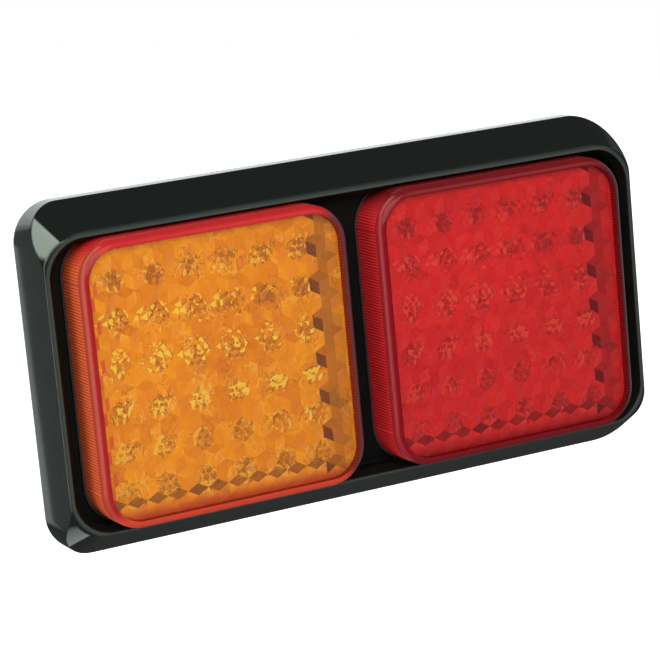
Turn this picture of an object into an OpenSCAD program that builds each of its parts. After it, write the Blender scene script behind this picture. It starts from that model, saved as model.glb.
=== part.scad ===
// Twin rear lamp: an amber and a red square LED lamp in one black surround.
// Pieces are drawn lying on their back, z rising from the vehicle's panel towards
// the viewer, and stand_up() then turns the whole so that the front faces -Y.

/* [Surround] */
// from a lens to the side skirt
side_margin = 8.5; // [8:0.25:12]
// from a lens to the top or bottom skirt
top_margin = 10; // [9.5:0.25:13]
// radius of the outer corners
surround_corner_r = 12; // [9:0.5:14]
// wall of the moulding
surround_wall = 2.5; // [1.8:0.1:3]
// upright skirt that meets the panel
skirt_height = 4.6; // [3:0.1:7]
// how far the upper side wall leans in
side_draft = 0.6; // [0.3:0.1:1]
// height of the ridge above the panel
ridge_height = 20.5; // [19:0.25:23]
// ridge to the side walls
ridge_inset_x = 0.8; // [0.7:0.1:2]
// ridge to the top and bottom walls
ridge_inset_y = 8.7; // [8:0.1:8.9]
// radius of the ridge corners
ridge_corner_r = 11.5; // [9:0.5:13]
// rise of the bevel for each millimetre of run
bevel_rise = 1.78; // [1.5:0.02:2]
// flat top of the ridge
ridge_land = 0.4; // [0.2:0.1:0.8]
// run of the slope inside the ridge
inner_slope_run = 1.8; // [1:0.1:2.4]
// drop of the slope inside the ridge
inner_slope_drop = 2.6; // [1.5:0.1:3.5]
// height of the recess floor and centre bar
floor_height = 13.5; // [12.5:0.25:15]
// thickness of the recess floor
floor_thickness = 2.5; // [2:0.1:3]
// gap between a lens and its opening
opening_gap = 0.8; // [0.6:0.05:1]

/* [Lamps] */
// width of the bar between the lenses
bar_width = 10; // [9:0.5:14]
// width and height of a lens
lens_size = 83; // [70:0.5:100]
// radius of the lens corners
lens_corner_r = 11.5; // [9:0.5:13]
// side wall of a lens
lens_wall = 2.2; // [1.6:0.1:2.8]
// thickness of a lens front
lens_front = 2.4; // [2:0.1:3]
// height of the lens front above the panel
lens_height = 27.5; // [26:0.25:30]
// radius of the lens front edge
lens_edge_r = 2.7; // [1.5:0.1:3]
// foot that seats the lens behind the surround
foot_overhang = 2; // [1.5:0.1:2.5]
// thickness of the foot
foot_thickness = 2.2; // [1.6:0.1:3]

/* [LED array] */
// LEDs along each side of a lamp
led_count = 6; // [4:1:7]
// from the lens cavity to the LED array's cells
led_margin = 1.5; // [1:0.1:3]
// radius of an LED
led_r = 2.5; // [1.5:0.1:3]
// height of an LED to its crown
led_height = 5.6; // [4.5:0.1:6]
// width of an LED's collar
led_collar = 0.4; // [0.2:0.1:0.6]
// land between the mouths of two cups, halved
cup_land = 0.8; // [0.5:0.1:1.5]
// radius of a cup at the board
cup_floor_r = 3.2; // [3:0.1:3.6]
// depth of the reflector
reflector_depth = 6; // [5:0.25:8]
// wall of the reflector
reflector_wall = 0.9; // [0.6:0.1:1.2]

/* [Inside a lamp] */
// thickness of the circuit board
board_thickness = 1.6; // [1:0.2:2]
// gap around the circuit board and reflector
board_gap = 0.5; // [0.3:0.1:1]
// wall of the housing
housing_wall = 2; // [1.6:0.1:2.6]
// thickness of the housing flange
flange_thickness = 2.2; // [1.6:0.1:2.8]
// radius of the board posts
post_r = 3; // [2.5:0.1:3.5]
// board screws in LED pitches from the centre
post_place = 2; // [1:1:2]
// radius of a board screw's shank
board_screw_r = 1.15; // [1:0.05:1.3]
// clearance around a screw's shank
screw_gap = 0.1; // [0.05:0.05:0.2]
// length of a board screw's shank in its post
board_screw_reach = 2.4; // [1.6:0.1:2.8]
// radius of a board screw's head
board_screw_head_r = 2.2; // [2:0.1:2.6]
// height of a board screw's head
board_screw_head = 1.5; // [1:0.1:2]
// chip resistors on each board
resistor_count = 6; // [4:1:8]
// size of a chip resistor
resistor_size = [3.2, 1.6, 0.6];
// size of the driver chip
driver_size = [6.4, 9, 2.2];
// radius of the cable bore in the gland
cable_r = 2.2; // [1.5:0.1:3]
// wall of the gland
gland_wall = 1.8; // [1.2:0.1:2.2]
// lip of the gland inside the housing
gland_lip = 1.4; // [1:0.1:2]

/* [Fixing] */
// thickness of the mounting plate
plate_thickness = 1.5; // [1:0.1:2]
// gap between the plate and the skirt
plate_gap = 0.3; // [0.2:0.1:0.6]
// radius of the bosses for the plate screws
boss_r = 3.2; // [2.8:0.1:3.4]
// corner bosses from the side skirt
boss_inset_x = 7.3; // [7:0.1:7.6]
// corner bosses from the top skirt
boss_inset_y = 7.5; // [7.2:0.1:7.8]
// centre bosses from the top skirt
middle_boss_inset = 5.7; // [5.4:0.1:5.9]
// radius of a plate screw's shank
plate_screw_r = 1.4; // [1.2:0.05:1.5]
// length of a plate screw's shank in its boss
plate_screw_reach = 5; // [4:0.25:6]
// radius of a plate screw's head
plate_screw_head_r = 2.8; // [2.4:0.1:3]
// distance between the two vehicle bolts
bolt_spacing = 50; // [40:1:60]
// radius of the thread in a clinch nut
bolt_r = 2.5; // [2:0.25:2.5]
// radius of a clinch nut's body
nut_r = 4; // [3.5:0.1:4.5]
// shoulder by which a clinch nut's body covers the plate
nut_shoulder = 0.8; // [0.5:0.1:1]
// height of a clinch nut's body
nut_height = 2.4; // [1.8:0.1:2.6]

/* [Hidden] */
$fn = 64;
tiny = 0.01;
// how far a cutter runs past the solid that it cuts
over = 1;
lamp_pitch = lens_size + bar_width;
surround_width = lamp_pitch + lens_size + 2 * side_margin;
surround_height = lens_size + 2 * top_margin;
opening_size = lens_size + 2 * opening_gap;
opening_r = lens_corner_r + opening_gap;
foot_size = lens_size + 2 * foot_overhang;
foot_r = lens_corner_r + foot_overhang;
cavity_size = lens_size - 2 * lens_wall;
cavity_r = lens_corner_r - lens_wall;
led_pitch = (cavity_size - 2 * led_margin) / led_count;
cup_mouth_r = led_pitch / 2 - cup_land;
board_size = cavity_size - 2 * board_gap;
board_r = cavity_r - board_gap;
seal_flange = 0.4;
seal_clearance = 0.2;
seal_lip = opening_gap - seal_clearance;
seal_lip_rise = floor_thickness - seal_clearance;
// heights above the panel, from the plate up to the lens
plate_top = plate_thickness;
ceiling = floor_height - floor_thickness;
foot_top = ceiling - seal_flange;
foot_bottom = foot_top - foot_thickness;
flange_bottom = foot_bottom - flange_thickness;
housing_floor = plate_top + housing_wall;
board_top = foot_bottom + board_thickness;
reflector_top = board_top + reflector_depth;
lens_ceiling = lens_height - lens_front;
bevel_shift = surround_wall * sqrt(1 + bevel_rise * bevel_rise);
gland_r = cable_r + gland_wall;
housing_inset = 1;
housing_size = lens_size - 2 * housing_inset;
housing_r = lens_corner_r - housing_inset;
lamp_x = lamp_pitch / 2;
post_span = post_place * led_pitch;
board_screw_length = board_thickness + board_screw_reach;
boss_hole_spare = 0.5;
plate_hole_gap = 0.5;
nut_neck_r = nut_r - nut_shoulder;
led_collar_height = 1;
driver_pins = 4;
driver_pin = 0.5;
driver_stand = 0.2;
gland_bottom = 0.3;
amber_tint = "#d2742c";
red_tint = "#b3252b";

// Plans and blocks with round corners

module rounded_plan(width, height, corner_r) {
    square([width - 2 * corner_r, height], center = true);
    square([width, height - 2 * corner_r], center = true);
    for (x = [-1, 1], y = [-1, 1])
        translate([x * (width / 2 - corner_r), y * (height / 2 - corner_r)])
            circle(corner_r);
}

module slab(width, height, corner_r, low, high) {
    translate([0, 0, low])
        linear_extrude(high - low)
            rounded_plan(width, height, corner_r);
}

// A slab whose sides lean in by lean from low to high
module leaning_slab(width, height, corner_r, lean, low, high) {
    rise = high - low;
    translate([0, 0, low]) {
        for (x = [-1, 1], y = [-1, 1])
            translate([x * (width / 2 - corner_r), y * (height / 2 - corner_r), 0])
                cylinder(h = rise, r1 = corner_r, r2 = corner_r - lean);
        rotate([90, 0, 90])
            linear_extrude(width - 2 * corner_r, center = true)
                leaning_section(height, lean, rise);
        rotate([90, 0, 0])
            linear_extrude(height - 2 * corner_r, center = true)
                leaning_section(width, lean, rise);
    }
}

module leaning_section(width, lean, rise) {
    polygon([
        [-width / 2, 0],
        [width / 2, 0],
        [width / 2 - lean, rise],
        [-width / 2 + lean, rise]
    ]);
}

// A square slab whose top edge is rounded, built up from two plain slabs and a bead
module soft_slab(size, corner_r, edge_r, low, high) {
    shoulder = high - edge_r;
    inner_size = size - 2 * edge_r;
    slab(size, size, corner_r, low, shoulder);
    slab(inner_size, inner_size, corner_r - edge_r, shoulder - tiny, high);
    for (turn = [0 : 90 : 270])
        rotate(turn)
            translate([0, 0, shoulder]) {
                rotate([90, 0, 0])
                    linear_extrude(size - 2 * corner_r, center = true)
                        bead_section(size / 2, edge_r);
                translate([size / 2 - corner_r, size / 2 - corner_r, 0])
                    rotate_extrude(angle = 90)
                        bead_section(corner_r, edge_r);
            }
}

module bead_section(reach, edge_r) {
    translate([reach - edge_r, 0])
        intersection() {
            circle(edge_r);
            square(edge_r);
        }
}

// Places that repeat

module at_lamp(side) {
    translate([side * lamp_x, 0, 0])
        children();
}

module at_each_led() {
    for (column = [0 : led_count - 1], row = [0 : led_count - 1])
        translate([
            (column - (led_count - 1) / 2) * led_pitch,
            (row - (led_count - 1) / 2) * led_pitch,
            board_top
        ])
            children();
}

module at_each_post() {
    for (x = [-1, 1], y = [-1, 1])
        translate([x * post_span, y * post_span, 0])
            children();
}

module at_each_boss() {
    for (x = [-1, 0, 1], y = [-1, 1]) {
        inset_y = x == 0 ? middle_boss_inset : boss_inset_y;
        translate([x * (surround_width / 2 - boss_inset_x), y * (surround_height / 2 - inset_y), 0])
            children();
    }
}

module at_each_bolt() {
    for (y = [-1, 1])
        translate([0, y * bolt_spacing / 2, 0])
            children();
}

// Surround

// Everything that lies under the bevel, which rises evenly from the walls to the ridge
module under_bevel() {
    run = ridge_height / bevel_rise;
    leaning_slab(
        surround_width - 2 * ridge_inset_x + 2 * run,
        surround_height - 2 * ridge_inset_y + 2 * run,
        ridge_corner_r + run, run, 0, ridge_height
    );
}

module surround_body() {
    intersection() {
        union() {
            slab(surround_width, surround_height, surround_corner_r, 0, skirt_height);
            leaning_slab(
                surround_width, surround_height, surround_corner_r,
                side_draft, skirt_height, ridge_height
            );
        }
        under_bevel();
    }
}

// The recess inside the ridge, down to the floor that carries the centre bar
module front_recess() {
    width = surround_width - 2 * (ridge_inset_x + ridge_land + inner_slope_run);
    height = surround_height - 2 * (ridge_inset_y + ridge_land + inner_slope_run);
    corner_r = ridge_corner_r - ridge_land - inner_slope_run;
    slope_foot = ridge_height - inner_slope_drop;
    reach = (inner_slope_drop + over) / inner_slope_drop;
    slab(width, height, corner_r, floor_height, slope_foot + tiny);
    leaning_slab(
        width, height, corner_r,
        -inner_slope_run * reach, slope_foot, slope_foot + inner_slope_drop * reach
    );
}

// The hollow behind the floor, with the bosses left standing in it
module rear_hollow() {
    difference() {
        intersection() {
            slab(
                surround_width - 2 * surround_wall, surround_height - 2 * surround_wall,
                surround_corner_r - surround_wall, -over, ceiling
            );
            translate([0, 0, -bevel_shift])
                under_bevel();
        }
        at_each_boss()
            translate([0, 0, plate_top])
                cylinder(h = ridge_height, r = boss_r);
    }
}

module surround_frame() {
    color("#1b1d1c")
        difference() {
            surround_body();
            front_recess();
            rear_hollow();
            for (side = [-1, 1])
                at_lamp(side)
                    slab(opening_size, opening_size, opening_r, ceiling - over, ridge_height + over);
            at_each_boss()
                translate([0, 0, plate_top - tiny])
                    cylinder(h = plate_screw_reach + boss_hole_spare, r = plate_screw_r + screw_gap);
        }
}

// Fixing

module mounting_plate() {
    inset = surround_wall + plate_gap;
    color("#9a9ea0")
        difference() {
            slab(
                surround_width - 2 * inset, surround_height - 2 * inset,
                surround_corner_r - inset, 0, plate_top
            );
            at_each_boss()
                screw_form(
                    plate_screw_head_r + screw_gap, plate_screw_r + screw_gap,
                    -over, plate_top + over
                );
            at_each_bolt()
                plate_hole(nut_neck_r);
            for (side = [-1, 1])
                at_lamp(side)
                    plate_hole(gland_r + gland_lip + plate_hole_gap);
        }
}

module plate_hole(r) {
    translate([0, 0, -over])
        cylinder(h = plate_top + 2 * over, r = r);
}

// A countersunk screw, or the hole for one, whose cone has head_r at the rear face
module screw_form(head_r, shank_r, low, high) {
    rotate_extrude()
        polygon([
            [0, low],
            [head_r - low, low],
            [shank_r, head_r - shank_r],
            [shank_r, high],
            [0, high]
        ]);
}

module plate_screws() {
    color("#b9bcbf")
        at_each_boss()
            screw_form(plate_screw_head_r, plate_screw_r, 0, plate_thickness + plate_screw_reach);
}

module clinch_nuts() {
    color("#c9b458")
        at_each_bolt()
            difference() {
                union() {
                    translate([0, 0, plate_top])
                        cylinder(h = nut_height, r = nut_r);
                    cylinder(h = plate_thickness, r = nut_neck_r);
                }
                translate([0, 0, -over])
                    cylinder(h = plate_top + nut_height + 2 * over, r = bolt_r);
            }
}

// Lens

module lens(tint) {
    color(tint)
        difference() {
            union() {
                soft_slab(lens_size, lens_corner_r, lens_edge_r, foot_bottom, lens_height);
                slab(foot_size, foot_size, foot_r, foot_bottom, foot_top);
            }
            slab(cavity_size, cavity_size, cavity_r, foot_bottom - over, lens_ceiling);
        }
}

// The seal lies on the lens foot and fills the foot of the gap around the lens
module seal() {
    color("#1e1f20")
        difference() {
            union() {
                slab(foot_size, foot_size, foot_r, foot_top, ceiling);
                slab(
                    lens_size + 2 * seal_lip, lens_size + 2 * seal_lip, lens_corner_r + seal_lip,
                    foot_top, ceiling + seal_lip_rise
                );
            }
            slab(lens_size, lens_size, lens_corner_r, foot_top - over, floor_height + over);
        }
}

// LED array

module reflector() {
    inner_size = board_size - 2 * reflector_wall;
    color("#d9dadb")
        difference() {
            union() {
                difference() {
                    slab(board_size, board_size, board_r, board_top, reflector_top);
                    slab(
                        inner_size, inner_size, board_r - reflector_wall,
                        board_top - over, reflector_top - reflector_wall
                    );
                }
                at_each_led()
                    cylinder(
                        h = reflector_depth,
                        r1 = cup_floor_r + reflector_wall, r2 = cup_mouth_r + reflector_wall
                    );
            }
            at_each_led()
                translate([0, 0, -tiny])
                    cylinder(h = reflector_depth + 2 * tiny, r1 = cup_floor_r, r2 = cup_mouth_r);
        }
}

module leds(tint) {
    color(tint)
        at_each_led() {
            cylinder(h = led_collar_height, r = led_r + led_collar);
            cylinder(h = led_height - led_r, r = led_r);
            translate([0, 0, led_height - led_r])
                sphere(led_r);
        }
}

// Inside a lamp

module board() {
    color("#2f6b46")
        difference() {
            slab(board_size, board_size, board_r, foot_bottom, board_top);
            at_each_post()
                cylinder(h = board_top + over, r = board_screw_r + screw_gap);
        }
}

module resistors() {
    color("#2b2b2d")
        for (i = [0 : resistor_count - 1])
            translate([
                (i - (resistor_count - 1) / 2) * led_pitch - resistor_size.x / 2,
                -post_span / 2 - resistor_size.y / 2,
                foot_bottom - resistor_size.z
            ])
                cube(resistor_size);
}

// The driver chip hangs under the board on its pins
module driver() {
    body_height = driver_size.z - driver_stand;
    color("#242426")
        translate([0, post_span / 2, foot_bottom - driver_size.z]) {
            translate([-driver_size.x / 2, -driver_size.y / 2, 0])
                cube([driver_size.x, driver_size.y, body_height]);
            for (side = [-1, 1], i = [0 : driver_pins - 1])
                translate([
                    side * (driver_size.x + driver_pin) / 2 - driver_pin,
                    (i - (driver_pins - 1) / 2) * driver_size.y / driver_pins - driver_pin / 2,
                    body_height / 2
                ])
                    cube([2 * driver_pin, driver_pin, driver_size.z - body_height / 2]);
        }
}

module board_screws() {
    color("#c4c6c8")
        at_each_post() {
            translate([0, 0, board_top])
                cylinder(h = board_screw_head, r = board_screw_head_r);
            translate([0, 0, board_top - board_screw_length])
                cylinder(h = board_screw_length + tiny, r = board_screw_r);
        }
}

module housing() {
    inner_size = housing_size - 2 * housing_wall;
    color("#26282a")
        difference() {
            union() {
                difference() {
                    union() {
                        slab(housing_size, housing_size, housing_r, plate_top, foot_bottom);
                        slab(foot_size, foot_size, foot_r, flange_bottom, foot_bottom);
                    }
                    slab(
                        inner_size, inner_size, housing_r - housing_wall,
                        housing_floor, foot_bottom + over
                    );
                }
                at_each_post()
                    translate([0, 0, housing_floor - tiny])
                        cylinder(h = foot_bottom - housing_floor + tiny, r = post_r);
            }
            at_each_post()
                translate([0, 0, housing_floor + screw_gap])
                    cylinder(h = foot_bottom, r = board_screw_r);
            cylinder(h = housing_floor + over, r = gland_r);
        }
}

// The rubber gland lines the hole for the cable in the housing floor
module gland() {
    color("#17181a")
        difference() {
            union() {
                translate([0, 0, gland_bottom])
                    cylinder(
                        h = plate_top - gland_bottom,
                        r1 = gland_r - gland_lip / 2,
                        r2 = gland_r + gland_lip
                    );
                translate([0, 0, plate_top - tiny])
                    cylinder(h = housing_wall + 2 * tiny, r = gland_r);
                translate([0, 0, housing_floor])
                    cylinder(h = gland_lip / 2, r = gland_r + gland_lip);
            }
            cylinder(h = foot_bottom, r = cable_r);
        }
}

module stand_up() {
    rotate([90, 0, 0])
        children();
}

module lamp_piece(side) {
    stand_up()
        at_lamp(side)
            children();
}

stand_up() surround_frame();
stand_up() mounting_plate();
stand_up() plate_screws();
stand_up() clinch_nuts();
lamp_piece(-1) lens(amber_tint);  // amber_lens
lamp_piece(-1) seal();  // amber_seal
lamp_piece(-1) reflector();  // amber_reflector
lamp_piece(-1) leds(amber_tint);  // amber_leds
lamp_piece(-1) board();  // amber_board
lamp_piece(-1) resistors();  // amber_resistors
lamp_piece(-1) driver();  // amber_driver
lamp_piece(-1) board_screws();  // amber_board_screws
lamp_piece(-1) housing();  // amber_housing
lamp_piece(-1) gland();  // amber_gland
lamp_piece(1) lens(red_tint);  // red_lens
lamp_piece(1) seal();  // red_seal
lamp_piece(1) reflector();  // red_reflector
lamp_piece(1) leds(red_tint);  // red_leds
lamp_piece(1) board();  // red_board
lamp_piece(1) resistors();  // red_resistors
lamp_piece(1) driver();  // red_driver
lamp_piece(1) board_screws();  // red_board_screws
lamp_piece(1) housing();  // red_housing
lamp_piece(1) gland();  // red_gland
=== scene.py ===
import math

import bmesh
import bpy
from bpy.props import FloatProperty, FloatVectorProperty, PointerProperty
from mathutils import Matrix, Vector


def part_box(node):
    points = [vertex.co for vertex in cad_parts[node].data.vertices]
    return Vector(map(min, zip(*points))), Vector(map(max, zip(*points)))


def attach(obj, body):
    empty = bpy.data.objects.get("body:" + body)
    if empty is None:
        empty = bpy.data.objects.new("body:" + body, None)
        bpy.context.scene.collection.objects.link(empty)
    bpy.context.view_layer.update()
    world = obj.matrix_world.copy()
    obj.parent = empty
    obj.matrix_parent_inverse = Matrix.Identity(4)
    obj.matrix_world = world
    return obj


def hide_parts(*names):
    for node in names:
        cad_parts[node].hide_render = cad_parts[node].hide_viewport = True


bl_info = {
    "name": "Twin square rear lamp",
    "version": (1, 0, 0),
    "blender": (4, 5, 0),
    "location": "View3D > Sidebar > Rear lamp",
    "description": "Dresses a twin LED rear lamp with its lenses, surround and studio",
    "category": "Object",
}

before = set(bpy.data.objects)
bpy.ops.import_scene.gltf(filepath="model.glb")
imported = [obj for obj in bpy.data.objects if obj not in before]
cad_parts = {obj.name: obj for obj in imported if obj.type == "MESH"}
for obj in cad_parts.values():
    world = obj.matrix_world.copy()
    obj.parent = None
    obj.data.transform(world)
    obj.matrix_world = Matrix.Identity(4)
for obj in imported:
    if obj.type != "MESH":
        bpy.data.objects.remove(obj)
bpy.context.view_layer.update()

MM = 0.001
LAMPS = ("amber", "red")
# Two heights closer than this are the same
SAME_HEIGHT = 0.001 * MM
# How far a cutting form reaches past the faces that it cuts
OVERCUT = 1 * MM

surround_low, surround_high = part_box("surround_frame")
lens_low, lens_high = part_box("amber_lens")
lamp_x = -(lens_low.x + lens_high.x) / 2


def size(name, description, default):
    return FloatProperty(
        name=name, description=description, default=default, subtype="DISTANCE", unit="LENGTH"
    )


def angle(name, description, degrees):
    return FloatProperty(
        name=name, description=description, default=math.radians(degrees),
        subtype="ANGLE", unit="ROTATION",
    )


def tint(name, description, default):
    return FloatVectorProperty(
        name=name, description=description, default=default, size=3, subtype="COLOR",
        min=0, max=1,
    )


class SurroundSizes(bpy.types.PropertyGroup):
    corner_r: size("Corner radius", "Radius of the outer corners", 12 * MM)
    wall: size("Wall", "Wall of the moulding", 2.5 * MM)
    skirt: size("Skirt", "Upright skirt that meets the panel", 9 * MM)
    draft: size("Draft", "How far the upper side wall leans in", 0.6 * MM)
    ridge_inset_x: size("Ridge inset, sides", "Ridge to the side walls", 0.8 * MM)
    ridge_inset_y: size("Ridge inset, top", "Ridge to the top and bottom walls", 8.7 * MM)
    ridge_corner_r: size("Ridge corner radius", "Radius inside the ridge corners", 11.5 * MM)
    ridge_outer_r: size("Ridge outer radius", "Radius outside the ridge corners", 9 * MM)
    bevel_rise: FloatProperty(
        name="Bevel rise", description="Rise of the bevel for each unit of run", default=1.78
    )
    land: size("Ridge land", "Flat top of the ridge, upper and lower sides", 0.4 * MM)
    side_land: size("Side land", "Flat top of the ridge, left and right sides", 1.3 * MM)
    slope_run: size("Inner slope run", "Run of the slope inside the ridge", 1.8 * MM)
    slope_drop: size("Inner slope drop", "Drop of the slope inside the ridge", 2.6 * MM)
    floor_height: size("Floor height", "Height of the floor that carries the bar", 13.5 * MM)
    floor_thickness: size("Floor thickness", "Thickness of that floor", 2.5 * MM)
    opening_gap: size("Opening gap", "Gap between a lens and its opening", 0.8 * MM)
    soft_edge: size("Soft edge", "Radius that the light sees on moulded edges", 0.9 * MM)
    black: tint("Black", "Colour of the moulding", (0.0065, 0.008, 0.007))
    # A painted sheen: a lighter colour on the top of the ridge that stands in for its highlight
    ridge_sheen_colour: tint("Ridge sheen", "Colour painted on the top of the ridge as its sheen", (0.036, 0.044, 0.038))


class LensSizes(bpy.types.PropertyGroup):
    foot_overhang: size("Foot overhang", "Foot beyond the lens wall", 2 * MM)
    foot_thickness: size("Foot thickness", "Thickness of the foot", 2.2 * MM)
    corner_r: size("Corner radius", "Radius of the lens corners", 11.5 * MM)
    wall: size("Wall", "Side wall of a lens", 2.2 * MM)
    front: size("Front", "Thickness of the lens front", 2.4 * MM)
    edge_r: size("Edge radius", "Radius of the front edge", 2.7 * MM)
    flute: size("Flute", "Distance between two flutes of the wall", 0.87 * MM)
    cell: size("Prism cell", "Width of one prism cell", 6.3 * MM)
    step: size("Prism step", "Step between the levels of a cell", 0.18 * MM)
    web: size("Prism web", "Thickness of the optic under its relief", 1.2 * MM)
    front_gap: size("Front gap", "Air between the optic and the lens front", 0.05 * MM)
    wall_gap: size("Wall gap", "Air between the optic and the lens wall", 0.02 * MM)
    led_pitch_x: size("LED pitch across", "Distance between two LEDs seen in a row", 11.7 * MM)
    led_pitch_z: size("LED pitch up", "Distance between two rows of LEDs", 12.5 * MM)
    reach: size("Reach", "How far a slanted facet shifts what is seen behind it", 12.5 * MM)
    seen_left: size("Seen to the left", "Shift of the LEDs to the left", 2.6 * MM)
    seen_down: size("Seen lower", "Shift of the LEDs downwards", 0.6 * MM)
    lattice_shift: size("Lattice shift", "Shift of the prism cells to the right", 3.70 * MM)
    lattice_lift: size("Lattice lift", "Shift of the prism cells upwards", 0.5 * MM)
    amber: tint("Amber", "Colour of the amber optic", (0.98, 0.375, 0.006))
    red: tint("Red", "Colour of the red optic", (0.80, 0.014, 0.017))


class StudioSizes(bpy.types.PropertyGroup):
    azimuth: angle("Azimuth", "Camera round the lamp", -25.94)
    elevation: angle("Elevation", "Camera above the lamp", 11.76)
    roll: angle("Roll", "Turn of the picture", -5.35)
    distance: size("Distance", "Camera to the lamp", 840.4 * MM)
    aim_x: size("Aim across", "Shift of the aim to the left", 0.12 * MM)
    aim_y: size("Aim down", "Shift of the aim downwards", 1.50 * MM)
    lens: FloatProperty(
        name="Lens", description="Focal length in millimetres", default=153.34,
        subtype="DISTANCE_CAMERA", unit="CAMERA",
    )
    floor_drop: size("Floor", "Height of the lamp above the floor", 350 * MM)


def recess_size(sizes):
    """Width and height inside the flat top of the ridge."""
    width = surround_high.x - surround_low.x - 2 * (sizes.ridge_inset_x + sizes.side_land)
    height = surround_high.z - surround_low.z - 2 * (sizes.ridge_inset_y + sizes.land)
    return width, height


def lens_size(sizes):
    """Width and height of a lens without its foot."""
    return lens_high.x - lens_low.x - 2 * sizes.foot_overhang


# Modelling

def only(piece):
    bpy.ops.object.select_all(action="DESELECT")
    piece.select_set(True)
    bpy.context.view_layer.objects.active = piece


def edit(piece):
    only(piece)
    bpy.ops.object.mode_set(mode="EDIT")


def leave_edit():
    bpy.ops.object.mode_set(mode="OBJECT")


def pick(piece, kind, test):
    """Selects the vertices, edges or faces that pass a test, in edit mode."""
    bpy.ops.mesh.select_mode(type=kind)
    bpy.ops.mesh.select_all(action="DESELECT")
    mesh = bmesh.from_edit_mesh(piece.data)
    items = {"VERT": mesh.verts, "EDGE": mesh.edges, "FACE": mesh.faces}[kind]
    for item in items:
        if test(item):
            item.select_set(True)
    mesh.select_flush_mode()
    bmesh.update_edit_mesh(piece.data)


def pick_level_face(piece, height):
    def lies_there(face):
        offset = face.calc_center_median().z - height
        return abs(offset) < SAME_HEIGHT and abs(face.normal.z) > 0.5

    pick(piece, "FACE", lies_there)


def pick_level_edges(piece, height):
    def lies_there(edge):
        return all(abs(vert.co.z - height) < SAME_HEIGHT for vert in edge.verts)

    pick(piece, "EDGE", lies_there)


def block(name, width, height, corner_r, low, high, steps=20):
    """A block with round upright edges. It lies on its back, with its own z towards the viewer."""
    bpy.ops.object.select_all(action="DESELECT")
    bpy.ops.mesh.primitive_cube_add(size=1, location=(0, 0, (low + high) / 2))
    piece = bpy.context.object
    piece.name = name
    piece.data.name = name
    piece.scale = (width, height, high - low)
    bpy.ops.object.transform_apply(location=True, rotation=True, scale=True)
    edit(piece)
    pick(piece, "EDGE", lambda e: abs(e.verts[0].co.z - e.verts[1].co.z) > (high - low) / 2)
    bpy.ops.mesh.bevel(offset=corner_r, segments=steps, profile=0.5, affect="EDGES")
    leave_edit()
    return piece


def slope(piece, height, inset, rise):
    """Insets the face at a height and moves it, which leaves an even slope all round."""
    edit(piece)
    pick_level_face(piece, height)
    bpy.ops.mesh.inset(thickness=inset, use_even_offset=True)
    bpy.ops.transform.translate(value=(0, 0, rise))
    leave_edit()


def deepen(piece, height, rise):
    """Extrudes the face at a height straight up, or down where the rise is negative."""
    edit(piece)
    pick_level_face(piece, height)
    bpy.ops.mesh.extrude_region_move(TRANSFORM_OT_translate={"value": (0, 0, rise)})
    leave_edit()


def apply_modifier(piece, modifier):
    only(piece)
    bpy.ops.object.modifier_apply(modifier=modifier.name)


def combine(piece, tool, operation):
    modifier = piece.modifiers.new(operation.lower(), "BOOLEAN")
    modifier.object = tool
    modifier.operation = operation
    modifier.solver = "EXACT"
    apply_modifier(piece, modifier)
    bpy.data.objects.remove(tool)


def shift(piece, x=0, y=0, z=0):
    only(piece)
    piece.location = (x, y, z)
    bpy.ops.object.transform_apply(location=True, rotation=False, scale=False)


def stand_up(piece):
    """Turns a piece that was made lying on its back, so that its front faces -Y."""
    only(piece)
    piece.rotation_euler = (math.pi / 2, 0, 0)
    bpy.ops.object.transform_apply(location=False, rotation=True, scale=False)


def smooth(piece, degrees):
    only(piece)
    bpy.ops.object.shade_smooth_by_angle(angle=math.radians(degrees))


def finish_piece(piece, material):
    piece.data.materials.clear()
    piece.data.materials.append(material)
    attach(piece, "root")


# Shaders

class Link:
    """A socket of a shader tree, whose arithmetic adds Math nodes."""

    def __init__(self, look, socket):
        self.look = look
        self.socket = socket

    def maths(self, operation, *values):
        return self.look.node("ShaderNodeMath", {"operation": operation}, dict(enumerate(values)))

    def __add__(self, other):
        return self.maths("ADD", self, other)

    __radd__ = __add__

    def __mul__(self, other):
        return self.maths("MULTIPLY", self, other)

    __rmul__ = __mul__

    def __sub__(self, other):
        return self.maths("SUBTRACT", self, other)

    def __rsub__(self, other):
        return self.maths("SUBTRACT", other, self)

    def __neg__(self):
        return 0 - self

    def __truediv__(self, other):
        return self.maths("DIVIDE", self, other)

    def __rtruediv__(self, other):
        return self.maths("DIVIDE", other, self)

    def __gt__(self, other):
        return self.maths("GREATER_THAN", self, other)

    def __lt__(self, other):
        return self.maths("LESS_THAN", self, other)

    def __abs__(self):
        return self.maths("ABSOLUTE", self)

    def within(self, low, high):
        return (self > low) * (self < high)

    def floor(self):
        return self.maths("FLOOR", self)

    def fraction(self):
        return self.maths("FRACT", self)

    def largest(self, other):
        return self.maths("MAXIMUM", self, other)

    def smallest(self, other):
        return self.maths("MINIMUM", self, other)

    def sine(self):
        return self.maths("SINE", self)

    def arctan2(self, other):
        return self.maths("ARCTAN2", self, other)


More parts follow.
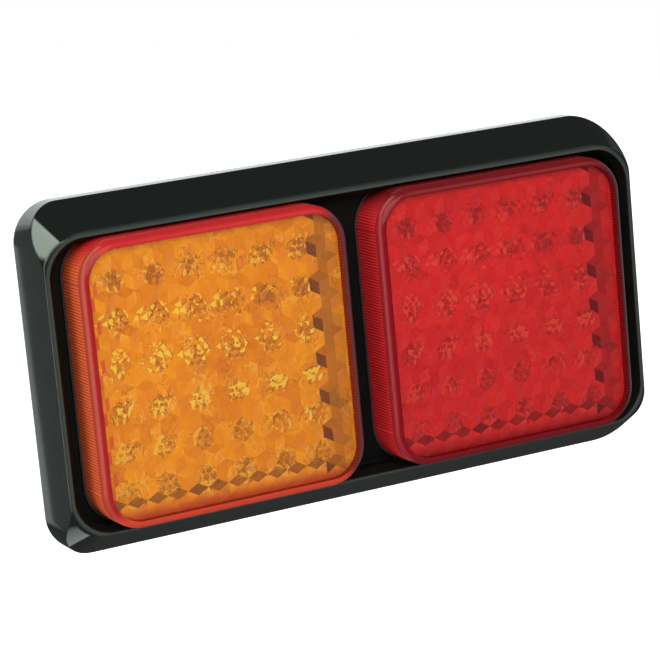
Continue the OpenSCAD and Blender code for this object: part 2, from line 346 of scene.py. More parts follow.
class Look:
    """A material or world with its node tree."""

    def __init__(self, owner):
        self.owner = owner
        owner.use_nodes = True
        self.tree = owner.node_tree

    def add(self, kind, settings=None, inputs=None):
        node = self.tree.nodes.new(kind)
        for name, value in (settings or {}).items():
            setattr(node, name, value)
        for key, value in (inputs or {}).items():
            self.put(node.inputs[key], value)
        return node

    def node(self, kind, settings=None, inputs=None, output=0):
        return Link(self, self.add(kind, settings, inputs).outputs[output])

    def put(self, socket, value):
        if isinstance(value, Link):
            self.tree.links.new(value.socket, socket)
        elif hasattr(value, "__len__") and len(value) == 3 and socket.type == "RGBA":
            socket.default_value = (*value, 1)
        else:
            socket.default_value = value

    def surface(self, shader):
        self.put(self.tree.nodes["Material Output"].inputs["Surface"], shader)

    def blend(self, factor, first, second):
        """Mixes two shaders."""
        return self.node("ShaderNodeMixShader", None, {0: factor, 1: first, 2: second})

    def mix(self, factor, first, second):
        """Mixes two colours, which a Mix node holds in inputs 6 and 7 and gives as output 2."""
        return self.node(
            "ShaderNodeMix", {"data_type": "RGBA"}, {0: factor, 6: first, 7: second}, output=2
        )

    def vector(self, x, y, z):
        return self.node("ShaderNodeCombineXYZ", None, {0: x, 1: y, 2: z})

    def parts(self, vector):
        """A vector as x, y and z."""
        node = self.add("ShaderNodeSeparateXYZ", None, {0: vector})
        return [Link(self, socket) for socket in node.outputs]

    def length(self, x, y):
        return self.node(
            "ShaderNodeVectorMath", {"operation": "LENGTH"}, {0: self.vector(x, y, 0.0)},
            output="Value",
        )

    def place(self):
        """Object coordinates, as a vector and as x, y and z."""
        vector = self.node("ShaderNodeTexCoord", output="Object")
        return vector, self.parts(vector)

    def noise(self, vector, scale, detail=3, roughness=0.5):
        return self.node(
            "ShaderNodeTexNoise", None,
            {"Vector": vector, "Scale": scale, "Detail": detail, "Roughness": roughness},
        )

    def cells(self, feature, vector, scale, output):
        return self.node(
            "ShaderNodeTexVoronoi", {"feature": feature},
            {"Vector": vector, "Scale": scale, "Randomness": 1}, output,
        )

    def ramp(self, value, low, high):
        """0 below low, 1 above high and smooth between."""
        return self.node(
            "ShaderNodeMapRange", {"interpolation_type": "SMOOTHSTEP"},
            {"Value": value, "From Min": low, "From Max": high},
        )

    def bump(self, height, distance, strength, normal=None):
        inputs = {"Height": height, "Distance": distance, "Strength": strength}
        if normal is not None:
            inputs["Normal"] = normal
        return self.node("ShaderNodeBump", None, inputs)

    def soft_edges(self, radius, samples):
        return self.node("ShaderNodeBevel", {"samples": samples}, {"Radius": radius})


def new_look(name):
    return Look(bpy.data.materials.new(name))


def principled(look, **inputs):
    """Fills in the shader that a new material starts with."""
    node = look.tree.nodes["Principled BSDF"]
    for name, value in inputs.items():
        look.put(node.inputs[name.replace("_", " ").title().replace("Ior", "IOR")], value)
    return Link(look, node.outputs[0])


def outline(along, up, half_x, half_z, corner_r):
    """Way along the outline of a rounded rectangle, the inset from it and where it faces."""
    core_x = half_x - corner_r
    core_z = half_z - corner_r
    out_x = along - along.largest(-core_x).smallest(core_x)
    out_z = up - up.largest(-core_z).smallest(core_z)
    away = along.look.length(out_x, out_z)
    way = along - out_x + up - out_z + out_z.arctan2(out_x) * corner_r
    return way, corner_r - away, out_x / away, out_z / away


# Surround

def gloss_black(sizes):
    """Polished black moulding with faint waviness and dust, a painted sheen on the ridge, and a
    dull finish inside it, painted darker as shade.
    """
    look = new_look("surround_black")
    vector, (x, _, z) = look.place()
    waves = look.noise(vector, scale=90, detail=2)
    dust = look.ramp(look.noise(vector, scale=2600, detail=2), 0.66, 0.8)
    edges = look.soft_edges(sizes.soft_edge, samples=8)
    width, height = recess_size(sizes)
    _, inset, _, _ = outline(x, z, width / 2, height / 2, sizes.ridge_corner_r - sizes.land)
    # Painted sheen: the top of the ridge takes a lighter colour in place of the highlight along it
    ridge_sheen = look.ramp(inset, -1.7 * MM, -0.6 * MM)
    dusty = look.mix(dust * 0.12, sizes.black, (0.10, 0.11, 0.105))
    gloss = principled(
        look,
        base_color=look.mix(ridge_sheen, dusty, sizes.ridge_sheen_colour),
        roughness=0.05 + waves * 0.03 + dust * 0.15,
        specular_ior_level=0.62,
        specular_tint=(0.90, 1.0, 0.93),
        coat_weight=0.35,
        coat_roughness=0.03,
        normal=look.bump(waves, 0.02 * MM, strength=0.25, normal=edges),
    )
    # Inside the ridge the moulding is dull and painted darker than the black outside: painted shade
    # in the recess
    matt_shaded = look.node("ShaderNodeBsdfPrincipled", None, {
        "Base Color": look.mix(waves, (0.002, 0.003, 0.0025), (0.004, 0.006, 0.005)),
        "Roughness": 0.40 + waves * 0.1,
        "Specular IOR Level": 0.10,
        "Normal": edges,
    })
    look.surface(look.blend(look.ramp(inset, -0.2 * MM, 0.1 * MM), gloss, matt_shaded))
    return look.owner


def make_surround(sizes, lens):
    """Shapes the outside, then takes out the hollow back, the recess and two openings."""
    width = surround_high.x - surround_low.x
    height = surround_high.z - surround_low.z
    ridge = -surround_low.y
    ceiling = sizes.floor_height - sizes.floor_thickness
    run = ridge / sizes.bevel_rise
    bevel_shift = sizes.wall * math.sqrt(1 + sizes.bevel_rise ** 2)

    def under_bevel(drop):
        tool = block(
            "bevel_form",
            width - 2 * sizes.ridge_inset_x + 2 * run, height - 2 * sizes.ridge_inset_y + 2 * run,
            sizes.ridge_outer_r + run, -OVERCUT - drop, -drop, steps=36,
        )
        slope(tool, -drop, run, ridge)
        return tool

    body = block("surround", width, height, sizes.corner_r, 0, sizes.skirt, steps=36)
    slope(body, sizes.skirt, sizes.draft, ridge - sizes.skirt)
    combine(body, under_bevel(0), "INTERSECT")

    hollow = block(
        "hollow", width - 2 * sizes.wall, height - 2 * sizes.wall,
        sizes.corner_r - sizes.wall, -OVERCUT, ceiling,
    )
    combine(hollow, under_bevel(bevel_shift), "INTERSECT")
    combine(body, hollow, "DIFFERENCE")

    slope_foot = ridge - sizes.slope_drop
    recess_width, recess_height = recess_size(sizes)
    recess = block(
        "recess", recess_width, recess_height, sizes.ridge_corner_r - sizes.land,
        ridge, ridge + OVERCUT, steps=28,
    )
    slope(recess, ridge, sizes.slope_run, -sizes.slope_drop)
    deepen(recess, slope_foot, sizes.floor_height - slope_foot)
    combine(body, recess, "DIFFERENCE")

    opening_size = lens_size(lens) + 2 * sizes.opening_gap
    for side in (-1, 1):
        opening = block(
            "opening", opening_size, opening_size, lens.corner_r + sizes.opening_gap,
            ceiling - OVERCUT, ridge + OVERCUT, steps=24,
        )
        shift(opening, x=side * lamp_x)
        combine(body, opening, "DIFFERENCE")

    stand_up(body)
    smooth(body, degrees=14)
    finish_piece(body, gloss_black(sizes))
    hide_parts("surround_frame")


# Lenses

def lens_finish(name, sizes, centre_x, colours):
    """Clear front over the optic, with a rounded edge and fluted side walls that carry painted
    light and shade.
    """
    look = new_look(name)
    vector, (x, y, z) = look.place()
    half = lens_size(sizes) / 2
    way, inset, facing_x, facing_z = outline(x - centre_x, z, half, half, sizes.corner_r)
    clear_mask = look.ramp(inset, sizes.wall + 0.05 * MM, sizes.wall + 0.25 * MM)
    shoulder = -lens_low.y - sizes.edge_r
    side_mask = 1 - look.ramp(-y, shoulder - 0.3 * MM, shoulder + 0.3 * MM)
    inner_mask = look.ramp(inset, sizes.wall / 2, sizes.wall * 0.8) * side_mask
    flutes = ((way / sizes.flute) * (2 * math.pi)).sine()
    cloud = look.noise(vector, scale=120)
    upward = look.ramp(facing_z, 0.2, 0.9)
    left_side = look.ramp(-facing_x, 0.35, 0.75)
    right_side = look.ramp(facing_x, 0.35, 0.8)
    low_side = look.ramp(-facing_z, 0.5, 0.95)

    # Painted shade: the upward wall takes the darker top colour in place of the side colour
    wall_tone = look.mix(upward, colours["side"], colours["top"])
    # Painted shade along the flutes: their grooves take the darker groove colour, less on the
    # upward wall
    lines = look.ramp(flutes, -0.7, 0.8) * (1 - upward * 0.8) * side_mask
    ribbed = look.mix(lines * 0.8, wall_tone, colours["groove"])
    # Painted light and shade on the rounded edge, by the way it faces: a painted highlight on the
    # left with a painted reflection of the wall in the inner strip there, painted shade on the
    # right, and painted light and shade on the lower side
    inner_half = look.ramp(inset, 1.0 * MM, 1.4 * MM) * left_side
    edge_tone = look.mix(left_side, colours["edge"], colours["edge_left"])
    edge_tone = look.mix(inner_half, edge_tone, colours["strip"])
    edge_tone = look.mix(low_side, edge_tone, colours["edge_low"])
    edge_tone = look.mix(right_side, edge_tone, colours["edge_right"])
    shaded_edge_and_wall = look.mix(side_mask, edge_tone, ribbed)
    # Painted light: the inner walls of the cavity take a bright colour and glow with it, though
    # nothing lights them
    coloured = look.mix(inner_mask, shaded_edge_and_wall, colours["inner"])
    wall = principled(
        look,
        base_color=look.mix(cloud * 0.08, coloured, colours["groove"]),
        roughness=0.14 + side_mask * (0.1 + left_side * 0.35) + cloud * 0.08,
        specular_ior_level=0.18,
        # Painted glow of the inner walls
        emission_color=look.mix(inner_mask, (0, 0, 0), colours["inner"]),
        emission_strength=0.45,
        normal=look.bump(flutes * side_mask, 0.10 * MM, strength=0.6),
    )
    clear = look.node("ShaderNodeBsdfTransparent", None, {"Color": (0.98, 0.97, 0.96)})
    shine = look.node("ShaderNodeBsdfGlossy", None, {"Color": (1, 1, 1), "Roughness": 0.02})
    front = look.blend(look.node("ShaderNodeFresnel", None, {"IOR": 1.49}), clear, shine)
    look.surface(look.blend(clear_mask, wall, front))
    return look.owner


def make_lens(name, sizes, side, colours):
    width = lens_size(sizes)
    foot_width = lens_high.x - lens_low.x
    top = -lens_low.y
    bottom = -lens_high.y
    body = block(name, width, width, sizes.corner_r, bottom + sizes.foot_thickness / 2, top)
    edit(body)
    pick_level_edges(body, top)
    bpy.ops.mesh.bevel(offset=sizes.edge_r, segments=8, profile=0.5, affect="EDGES")
    leave_edit()
    foot = block(
        "foot", foot_width, foot_width, sizes.corner_r + sizes.foot_overhang,
        bottom, bottom + sizes.foot_thickness,
    )
    combine(body, foot, "UNION")
    cavity_width = width - 2 * sizes.wall
    cavity = block(
        "cavity", cavity_width, cavity_width, sizes.corner_r - sizes.wall,
        bottom - OVERCUT, top - sizes.front,
    )
    combine(body, cavity, "DIFFERENCE")
    shift(body, x=side * lamp_x)
    stand_up(body)
    smooth(body, degrees=35)
    finish_piece(body, lens_finish(name + "_clear", sizes, side * lamp_x, colours))
    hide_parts(name)


# Prism optics

def lattice_sheet(name, sizes):
    """Prism cells in rows, each a hexagon whose centre and alternate corners are raised."""
    side = sizes.cell / math.sqrt(3)

    def is_centre(vert):
        return vert.co.length < side / 2

    def is_raised_corner(vert):
        uppermost = vert.co.y > 0.9 * side
        lower_side = vert.co.y < -0.4 * side and abs(vert.co.x) > side / 2
        return not is_centre(vert) and (uppermost or lower_side)

    bpy.ops.object.select_all(action="DESELECT")
    bpy.ops.mesh.primitive_circle_add(vertices=6, radius=side, fill_type="TRIFAN")
    sheet = bpy.context.object
    sheet.name = name
    sheet.data.name = name
    edit(sheet)
    pick(sheet, "VERT", is_centre)
    bpy.ops.transform.translate(value=(0, 0, 2 * sizes.step))
    pick(sheet, "VERT", is_raised_corner)
    bpy.ops.transform.translate(value=(0, 0, sizes.step))
    leave_edit()

    # A pair of rows is repeated upwards, and then across
    row_pairs = 9
    columns = 16
    copies = [
        (2, (sizes.cell / 2, 1.5 * side, 0)),
        (row_pairs, (0, 3 * side, 0)),
        (columns, (sizes.cell, 0, 0)),
    ]
    for count, offset in copies:
        modifier = sheet.modifiers.new("cells", "ARRAY")
        modifier.use_relative_offset = False
        modifier.use_constant_offset = True
        modifier.constant_offset_displace = offset
        modifier.count = count
        apply_modifier(sheet, modifier)
    shift(
        sheet,
        x=-columns * sizes.cell / 2 + sizes.lattice_shift,
        y=-row_pairs * 1.5 * side + sizes.lattice_lift,
    )
    edit(sheet)
    bpy.ops.mesh.select_all(action="SELECT")
    bpy.ops.mesh.remove_doubles(threshold=0.01 * MM)
    leave_edit()
    return sheet


def trim_round(sheet, half, corner_r, steps=24):
    """Cuts a sheet to a rounded square."""
    core = half - corner_r
    edit(sheet)
    for step in range(steps):
        angle = 2 * math.pi * step / steps
        way = Vector((math.cos(angle), math.sin(angle), 0))
        corner = Vector((math.copysign(core, way.x), math.copysign(core, way.y), 0))
        bpy.ops.mesh.select_all(action="SELECT")
        bpy.ops.mesh.bisect(plane_co=corner + way * corner_r, plane_no=way, clear_outer=True)
    leave_edit()


def mark_facets(sheet, centre_x, step):
    """Stores the middle of each rhombus facet in mm, so that a shader can treat it as one."""
    facets = sheet.data.attributes.new("facet", "FLOAT_VECTOR", "FACE")
    for face in sheet.data.polygons:
        corners = [sheet.data.vertices[i].co for i in face.vertices]
        top = max(corners, key=lambda co: co.z)
        foot = min(corners, key=lambda co: co.z)
        # An uncut triangle shares the side from its top to its foot with the other half
        whole = len(corners) == 3 and abs(top.z - foot.z - 2 * step) < 0.02 * MM
        middle = (top + foot) / 2 if whole else face.center
        place = [round(value / MM, 1) for value in (middle.x - centre_x, middle.y)]
        facets.data[face.index].vector = (*place, 0)


def led_shapes(led_u, led_v, row):
    """An arrow, a wedge and a tick of light by the LEDs of the middle rows."""
    lower = row.within(-1.5, 0.5)
    upper = row.within(-0.5, 1.5)
    arrow = (abs(led_v - 0.5 * MM) < (led_u + 5.2 * MM) * 0.5) * (led_u < -2.9 * MM) * upper
    wedge = (abs(led_u + 1.5 * MM) < (led_v + 3.8 * MM) * 0.34) * (led_v < -0.7 * MM) * lower
    across_tick = abs(led_u - led_v * 0.6 - 2.8 * MM) < 0.5 * MM
    along_tick = abs(led_v + 0.9 * MM) < 1.4 * MM
    return arrow.largest(wedge).largest(across_tick * along_tick * lower)


def border_shade(facet_u, facet_v, faces_right, faces_down, lot, half):
    """Dark facets, in a column by the right border and a row by the lower one. Lengths in mm."""
    from_right = half - facet_u
    from_low = facet_v + half
    column = from_right.within(4.3, 9.9) * (from_low > 4.5)
    column = column * (0.55 + (from_right > 5.6) * 0.45)
    lone = from_right.within(10.2, 11.6) * faces_right * (from_low > 4.5)
    low = from_low.within(4.8, 8.6) * faces_down * (from_right > 5.4)
    return (column * (0.22 + lot * 0.34)).largest(lone * 0.85).largest(low * (0.45 + lot * 0.3))


def optic_colour(name, sizes, centre_x, colours):
    """Prism facets with a painted image of the LEDs, broken into shards with painted glints and
    shade, and with painted shade by the right and lower borders.
    """
    # Shards and creases for each metre
    shard_scale = 900
    crease_scale = 340
    look = new_look(name)
    vector, (x, _, z) = look.place()
    slant_x, _, slant_z = look.parts(look.node("ShaderNodeTexCoord", output="Normal"))
    facet = look.node("ShaderNodeAttribute", {"attribute_name": "facet"}, output="Vector")
    facet_u, facet_v, _ = look.parts(facet)
    lot = look.node("ShaderNodeTexWhiteNoise", {"noise_dimensions": "3D"}, {"Vector": facet})
    fine = look.noise(vector, scale=420, detail=4, roughness=0.6)
    broad = look.noise(vector, scale=30, detail=2)

    # Where the LEDs seem to be, shifted by the slant of the facet before them
    seen_u = x - centre_x + slant_x * sizes.reach + sizes.seen_left
    seen_v = z + slant_z * sizes.reach + sizes.seen_down
    across = seen_u / sizes.led_pitch_x
    up = seen_v / sizes.led_pitch_z
    led_u = (across.fraction() - 0.5) * sizes.led_pitch_x
    led_v = (up.fraction() - 0.5) * sizes.led_pitch_z
    row = up.floor()
    board = abs(seen_u) < sizes.led_pitch_x * 3

    # Painted shards, strokes and glints round each LED, their painted light brightest in the middle
    # rows
    seed = row * 5.3 * MM + across.floor() * 0.15 * MM
    spot = look.vector(led_u + (fine - 0.5) * 2.2 * MM, led_v * 0.75, seed)
    away = look.length(led_u, led_v)
    chance, other, third = look.parts(look.cells("F1", spot, shard_scale, "Color"))
    shard_edges = look.cells("DISTANCE_TO_EDGE", spot, shard_scale, "Distance")
    near = look.ramp(away, 8.6 * MM, 1.2 * MM) * board
    row_level = look.ramp(abs(facet_v - 6), 34, 8) * 0.7 + 0.3
    thin = 1 - look.ramp(shard_edges, 0.04, 0.15)
    stroke = thin * look.ramp(near + other * 0.6, 1.0, 1.15)
    marks = look.ramp(third + near, 1.70, 1.74)
    # Painted shade: a darker patch round each LED
    led_halo_shade = look.ramp(away + fine * 1.5 * MM, 5.0 * MM, 1.6 * MM) * board
    shapes = led_shapes(led_u, led_v, row) * look.ramp(chance + fine, 0.55, 0.65) * board
    spark = look.ramp(chance + near, 1.70, 1.74).largest(shapes) * row_level
    swirl_away = look.length(led_u - 1.2 * MM, led_v * 0.85 + 0.4 * MM)
    swirl = 1 - look.ramp(abs(swirl_away + (fine - 0.5) * 2 * MM - 2.1 * MM), 0.1 * MM, 0.32 * MM)
    swirl = swirl * look.ramp(other, 0.3, 0.5) * board

    # Fine creases between the LEDs, painted as thin glints and thin shade
    crease_place = look.vector(seen_u * 1.3, seen_v * 0.8, lot * 0.4 * MM)
    crease_edges = look.cells("DISTANCE_TO_EDGE", crease_place, crease_scale, "Distance")
    crease = 1 - look.ramp(crease_edges, 0.02, 0.10)
    crease = crease * look.ramp(look.noise(vector, scale=160), 0.45, 0.62)

    # Painted shade in dark facets by the right and lower borders, and a painted reflection of the
    # red lens wall in red facets by the left and lower ones
    half = lens_size(sizes) / 2 / MM
    shade = border_shade(facet_u, facet_v, slant_x > 0.05, slant_z < -0.08, lot, half)
    shade = shade * look.ramp(fine, 0.15, 0.45)
    left_red = (facet_u + half < 7.4) * (slant_x < -0.05) * (x - centre_x < (5.4 - half) * MM)
    low_red = look.ramp(-z, (half - 6.5) * MM, (half - 2.8) * MM)

    # Painted light and shade: facets facing right and up are lighter, on top of random tone from
    # each facet and broad noise
    tone = 0.5 + slant_x * 0.9 + slant_z * 0.6 + (lot - 0.5) * 0.6 + (broad - 0.5) * 1.4
    layers = (
        (led_halo_shade * 0.22, "dark"),
        (stroke * (chance > 0.5), "glow"),
        (stroke * (chance < 0.5) * 0.75, "dark"),
        (marks * 0.5, "dark"),
        (swirl * 0.55, "dark"),
        (crease * (lot > 0.45) * 0.6, "glow"),
        (crease * (lot < 0.45) * 0.3, "dark"),
        (spark, "spark"),
        (left_red * 0.7, "rim"),
        (low_red * 0.85, "low"),
        (shade, "shade"),
    )
    colour = look.mix(tone + (fine - 0.5) * 0.9, colours["deep"], colours["main"])
    for mask, key in layers:
        colour = look.mix(mask, colour, colours[key])
    principled(
        look,
        base_color=colour,
        roughness=0.3 + fine * 0.2,
        # Painted glow: the optic gives off light of its own colour, except in the shaded facets
        emission_color=look.mix(shade, colour, (0, 0, 0)),
        emission_strength=0.12,
        normal=look.bump(fine, 0.05 * MM, strength=0.3),
    )
    return look.owner


def make_optic(lamp, sizes, side, colours):
    name = lamp + "_optic"
    centre_x = side * lamp_x
    sheet = lattice_sheet(name, sizes)
    half = lens_size(sizes) / 2 - sizes.wall
    trim_round(sheet, half - sizes.wall_gap, sizes.corner_r - sizes.wall)
    edit(sheet)
    bpy.ops.mesh.select_all(action="SELECT")
    bpy.ops.mesh.extrude_region_move(TRANSFORM_OT_translate={"value": (0, 0, -sizes.web)})
    bpy.ops.transform.resize(value=(1, 1, 0), center_override=(0, 0, -sizes.web))
    bpy.ops.mesh.select_all(action="SELECT")
    bpy.ops.mesh.normals_make_consistent(inside=False)
    leave_edit()
    relief = 2 * sizes.step
    shift(sheet, x=centre_x, z=-lens_low.y - sizes.front - relief - sizes.front_gap)
    mark_facets(sheet, centre_x, sizes.step)
    stand_up(sheet)
    only(sheet)
    bpy.ops.object.shade_flat()
    finish_piece(sheet, optic_colour(name + "_prisms", sizes, centre_x, colours))


# Pieces that keep their own solids

def plain_look(name, colour, second, scale, roughness, metallic=0.0, bump=0.02, coat=0.0):
    """A finish of two close tones and a grain, with its scale for each metre and its bump in mm."""
    look = new_look(name)
    vector, _ = look.place()
    grain = look.noise(vector, scale, detail=5, roughness=0.6)
    patches = look.noise(vector, scale / 12)
    edges = look.soft_edges(0.25 * MM, samples=4)
    principled(
        look,
        base_color=look.mix(look.ramp(grain * 0.6 + patches * 0.4, 0.35, 0.65), colour, second),
        roughness=roughness + grain * 0.15,
        metallic=metallic,
        coat_weight=coat,
        normal=look.bump(grain, bump * MM, strength=0.6, normal=edges),
    )
    return look.owner


def dress(nodes, material):
    for name in nodes:
        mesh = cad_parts[name].data
        mesh.materials.clear()
        mesh.materials.append(material)


def both(kind):
    return [f"{lamp}_{kind}" for lamp in LAMPS]


# Studio

def aim_camera(studio):
    back = Vector((
        math.sin(studio.azimuth) * math.cos(studio.elevation),
        -math.cos(studio.azimuth) * math.cos(studio.elevation),
        math.sin(studio.elevation),
    ))
    level = Vector((0, 0, 1)).cross(back).normalized()
    upward = back.cross(level)
    right = math.cos(studio.roll) * level + math.sin(studio.roll) * upward
    up = -math.sin(studio.roll) * level + math.cos(studio.roll) * upward
    place = back * studio.distance - right * studio.aim_x - up * studio.aim_y
    turn = Matrix((right, up, back)).transposed().to_4x4()
    bpy.ops.object.camera_add()
    camera = bpy.context.object
    camera.name = "camera"
    camera.matrix_world = Matrix.Translation(place) @ turn
    camera.data.lens = studio.lens
    camera.data.sensor_width = 36
    camera.data.clip_start = 0.01
    bpy.context.scene.camera = camera
    bpy.context.scene.view_settings.view_transform = "Standard"


def panel_light(name, place, width, height, power):
    """A soft panel that faces the lamp."""
    bpy.ops.object.light_add(type="AREA", location=place)
    panel = bpy.context.object
    panel.name = name
    panel.data.shape = "RECTANGLE"
    panel.data.size = width
    panel.data.size_y = height
    panel.data.energy = power
    panel.rotation_euler = (-Vector(place)).to_track_quat("-Z", "Y").to_euler()


def make_world():
    """White to the camera, while gloss mirrors a dim room with a few bright walls."""
    world = bpy.data.worlds.new("studio")
    bpy.context.scene.world = world
    look = Look(world)
    seen = look.node("ShaderNodeLightPath", output="Is Camera Ray")
    mirrored = look.node("ShaderNodeLightPath", output="Is Glossy Ray")

    # Each wall is a range of directions, given by the parts of a vector one unit long
    way = look.node("ShaderNodeTexCoord", output="Generated")
    rightwards, behind, upwards = look.parts(way)
    wall_tone = look.mix(
        look.ramp(rightwards, -0.30, -0.10), (0.90, 1.00, 0.95), (1.15, 1.22, 1.19)
    )
    wall_steps = 0.09 + look.ramp(rightwards, -0.362, -0.345) * 0.45
    wall_steps = wall_steps + look.ramp(rightwards, -0.315, -0.300) * 0.46
    back_wall = look.ramp(behind, 0.80, 0.83) * wall_steps * look.ramp(upwards, -0.36, -0.25)
    right_wall = look.ramp(rightwards, 0.75, 0.92)
    below = look.ramp(-upwards, 0.74, 0.80) * look.ramp(-rightwards, -0.04, 0.0)
    below = below * look.ramp(behind, 0.3, 0.4)
    front_haze = look.ramp(rightwards, 0.30, 0.40) * look.ramp(upwards, 0.35, 0.50)
    front_haze = front_haze * look.ramp(-behind, 0.30, 0.45)
    left_wall = look.ramp(-rightwards - upwards * 0.1, 0.0, 0.05)
    left_wall = left_wall * look.ramp(rightwards, -0.92, -0.80)
    left_wall = left_wall * look.ramp(behind, -0.20, -0.08) * look.ramp(-behind, -0.42, -0.34)
    left_wall = left_wall * look.ramp(upwards, -0.40, -0.30)

    room = (0.05, 0.055, 0.052)
    walls = (
        (back_wall, wall_tone),
        (right_wall, (0.55, 0.60, 0.55)),
        (below, (0.95, 1.05, 1.0)),
        (front_haze, (1.7, 1.8, 1.72)),
        (left_wall, (4.0, 4.5, 3.9)),
    )
    for mask, colour in walls:
        room = look.mix(mask, room, colour)
    soft = look.mix(mirrored, (0.55, 0.55, 0.55), room)
    background = look.tree.nodes["Background"]
    look.put(background.inputs["Color"], look.mix(seen, soft, (1, 1, 1)))
    look.put(background.inputs["Strength"], 1)


def make_floor(studio):
    """A pale floor that shows white to the camera and lets mirrored rays through."""
    bpy.ops.object.select_all(action="DESELECT")
    bpy.ops.mesh.primitive_plane_add(size=6, location=(0, 0, surround_low.z - studio.floor_drop))
    floor = bpy.context.object
    floor.name = "floor"
    bpy.ops.object.transform_apply(location=True, rotation=True, scale=True)
    look = new_look("floor_pale")
    seen = look.node("ShaderNodeLightPath", output="Is Camera Ray")
    mirrored = look.node("ShaderNodeLightPath", output="Is Glossy Ray")
    vector, _ = look.place()
    paper = look.noise(vector, scale=40, detail=2)
    pale = principled(
        look,
        base_color=look.mix(paper, (0.80, 0.80, 0.80), (0.84, 0.84, 0.84)),
        roughness=0.9,
        specular_ior_level=0.0,
        emission_color=look.mix(seen, (0, 0, 0), (1, 1, 1)),
        emission_strength=1.0,
    )
    look.surface(look.blend(mirrored, pale, look.node("ShaderNodeBsdfTransparent")))
    floor.data.materials.append(look.owner)


# Operators

class LAMP_OT_surround(bpy.types.Operator):
    """Makes the black surround with its ridge, recess and centre bar"""
    bl_idname = "rearlamp.surround"
    bl_label = "Surround"

    def execute(self, context):
        make_surround(context.scene.rearlamp_surround, context.scene.rearlamp_lens)
        return {"FINISHED"}


class LAMP_OT_lenses(bpy.types.Operator):
    """Makes the two clear lenses with fluted walls"""
    bl_idname = "rearlamp.lenses"
    bl_label = "Lenses"

    def execute(self, context):
        sizes = context.scene.rearlamp_lens
        # side and edge are the lens's own tones; top, edge_left, edge_low, edge_right and strip
        # paint light and shade by facing direction, groove paints shade along the flutes, and inner
        # is a painted glow
        make_lens("amber_lens", sizes, -1, {
            "side": (0.64, 0.110, 0.030),
            "groove": (0.26, 0.022, 0.010),
            "top": (0.48, 0.016, 0.018),
            "edge": (0.40, 0.014, 0.016),
            "edge_left": (0.28, 0.035, 0.020),
            "edge_low": (0.46, 0.045, 0.022),
            "edge_right": (0.085, 0.022, 0.026),
            "strip": (0.24, 0.008, 0.012),
            "inner": (0.80, 0.24, 0.045),
        })
        # The same painted light and shade as for the amber lens
        make_lens("red_lens", sizes, 1, {
            "side": (0.80, 0.026, 0.030),
            "groove": (0.22, 0.006, 0.009),
            "top": (0.13, 0.004, 0.006),
            "edge": (0.14, 0.005, 0.007),
            "edge_left": (0.22, 0.014, 0.018),
            "edge_low": (0.13, 0.006, 0.010),
            "edge_right": (0.05, 0.006, 0.012),
            "strip": (0.14, 0.003, 0.007),
            "inner": (0.50, 0.012, 0.018),
        })
        return {"FINISHED"}


class LAMP_OT_optics(bpy.types.Operator):
    """Makes the prism relief behind each lens front"""
    bl_idname = "rearlamp.optics"
    bl_label = "Prism optics"

    def execute(self, context):
        sizes = context.scene.rearlamp_lens
        # main and deep are the optic's tones; glow and spark paint highlights, dark and shade paint
        # shade, and rim and low paint a reflection of the lens wall
        make_optic("amber", sizes, -1, {
            "main": sizes.amber,
            "deep": (0.80, 0.235, 0.008),
            "glow": (1.0, 0.55, 0.08),
            "dark": (0.36, 0.10, 0.015),
            "spark": (1.0, 0.66, 0.06),
            "shade": (0.17, 0.040, 0.028),
            "rim": (0.80, 0.045, 0.015),
            "low": (0.60, 0.060, 0.022),
        })
        # The same painted light and shade as for the amber optic
        make_optic("red", sizes, 1, {
            "main": sizes.red,
            "deep": (0.66, 0.010, 0.014),
            "glow": (0.82, 0.045, 0.030),
            "dark": (0.28, 0.006, 0.010),
            "spark": (0.82, 0.060, 0.035),
            "shade": (0.14, 0.004, 0.010),
            "rim": (0.70, 0.010, 0.014),
            "low": (0.42, 0.006, 0.010),
        })
        return {"FINISHED"}


class LAMP_OT_inner_parts(bpy.types.Operator):
    """Gives the reflectors, LEDs, boards and chips their finishes"""
    bl_idname = "rearlamp.inner_parts"
    bl_label = "Inner parts"

    def execute(self, context):
        dress(both("reflector"), plain_look(
            "metallised", (0.80, 0.80, 0.82), (0.88, 0.88, 0.89),
            scale=300, roughness=0.06, metallic=1.0, bump=0.005,
        ))
        dress(["amber_leds"], plain_look(
            "led_amber", (0.88, 0.36, 0.04), (0.94, 0.46, 0.08),
            scale=400, roughness=0.12, coat=0.6,
        ))
        dress(["red_leds"], plain_look(
            "led_red", (0.66, 0.03, 0.03), (0.78, 0.05, 0.05),
            scale=400, roughness=0.12, coat=0.6,
        ))
        dress(both("board"), plain_look(
            "board_green", (0.02, 0.12, 0.05), (0.04, 0.18, 0.08),
            scale=500, roughness=0.35, bump=0.03,
        ))
        dress(both("resistors") + both("driver"), plain_look(
            "chip_black", (0.015, 0.015, 0.017), (0.035, 0.035, 0.037),
            scale=900, roughness=0.5, bump=0.04,
        ))
        dress(both("board_screws"), plain_look(
            "screw_steel", (0.50, 0.50, 0.52), (0.64, 0.64, 0.66),
            scale=1200, roughness=0.25, metallic=1.0,
        ))
        return {"FINISHED"}


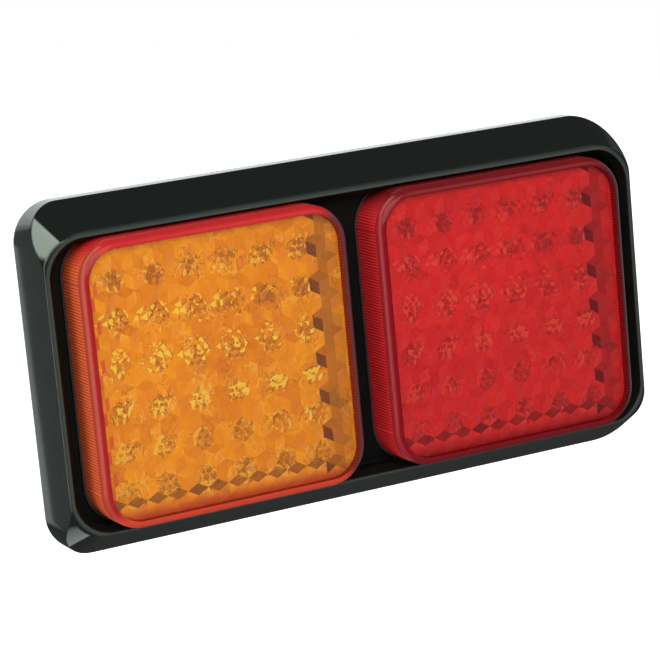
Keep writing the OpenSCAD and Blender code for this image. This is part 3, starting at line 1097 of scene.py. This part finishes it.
class LAMP_OT_rear_parts(bpy.types.Operator):
    """Gives the plate, screws, nuts, housings, glands and seals their finishes"""
    bl_idname = "rearlamp.rear_parts"
    bl_label = "Rear parts"

    def execute(self, context):
        dress(["mounting_plate"], plain_look(
            "plate_coat", (0.20, 0.21, 0.22), (0.28, 0.29, 0.30),
            scale=700, roughness=0.42, metallic=0.4, bump=0.05,
        ))
        dress(["plate_screws"], plain_look(
            "plate_screw_steel", (0.52, 0.52, 0.50), (0.66, 0.65, 0.62),
            scale=900, roughness=0.25, metallic=1.0,
        ))
        dress(["clinch_nuts"], plain_look(
            "nut_brass", (0.62, 0.42, 0.13), (0.74, 0.54, 0.22),
            scale=900, roughness=0.25, metallic=1.0,
        ))
        dress(both("housing"), plain_look(
            "housing_black", (0.016, 0.017, 0.018), (0.03, 0.032, 0.034),
            scale=1100, roughness=0.5, bump=0.06,
        ))
        dress(both("gland") + both("seal"), plain_look(
            "rubber_black", (0.010, 0.010, 0.011), (0.022, 0.022, 0.023),
            scale=1400, roughness=0.62, bump=0.04,
        ))
        return {"FINISHED"}


class LAMP_OT_stage(bpy.types.Operator):
    """Makes the camera, lights, world and floor"""
    bl_idname = "rearlamp.stage"
    bl_label = "Studio"

    def execute(self, context):
        studio = context.scene.rearlamp_studio
        aim_camera(studio)
        make_world()
        make_floor(studio)
        panel_light("key_panel", (-0.35, -1.15, 0.75), width=1.3, height=1.3, power=19)
        panel_light("left_panel", (-1.10, -0.25, 0.12), width=0.7, height=1.0, power=7)
        return {"FINISHED"}


class LAMP_PT_panel(bpy.types.Panel):
    """Lists the steps that build the rear lamp"""
    bl_idname = "LAMP_PT_panel"
    bl_label = "Rear lamp"
    bl_space_type = "VIEW_3D"
    bl_region_type = "UI"
    bl_category = "Rear lamp"

    def draw(self, context):
        for operator in STEPS:
            self.layout.operator(operator.bl_idname)


GROUPS = {
    "rearlamp_surround": SurroundSizes,
    "rearlamp_lens": LensSizes,
    "rearlamp_studio": StudioSizes,
}
STEPS = (
    LAMP_OT_surround, LAMP_OT_lenses, LAMP_OT_optics,
    LAMP_OT_inner_parts, LAMP_OT_rear_parts, LAMP_OT_stage,
)


def register():
    for cls in (*GROUPS.values(), *STEPS, LAMP_PT_panel):
        bpy.utils.register_class(cls)
    for name, group in GROUPS.items():
        setattr(bpy.types.Scene, name, PointerProperty(type=group))


def unregister():
    for name in GROUPS:
        delattr(bpy.types.Scene, name)
    for cls in reversed((*GROUPS.values(), *STEPS, LAMP_PT_panel)):
        bpy.utils.unregister_class(cls)


def main():
    register()
    bpy.ops.rearlamp.surround()
    bpy.ops.rearlamp.lenses()
    bpy.ops.rearlamp.optics()
    bpy.ops.rearlamp.inner_parts()
    bpy.ops.rearlamp.rear_parts()
    bpy.ops.rearlamp.stage()


if __name__ == "__main__":
    main()
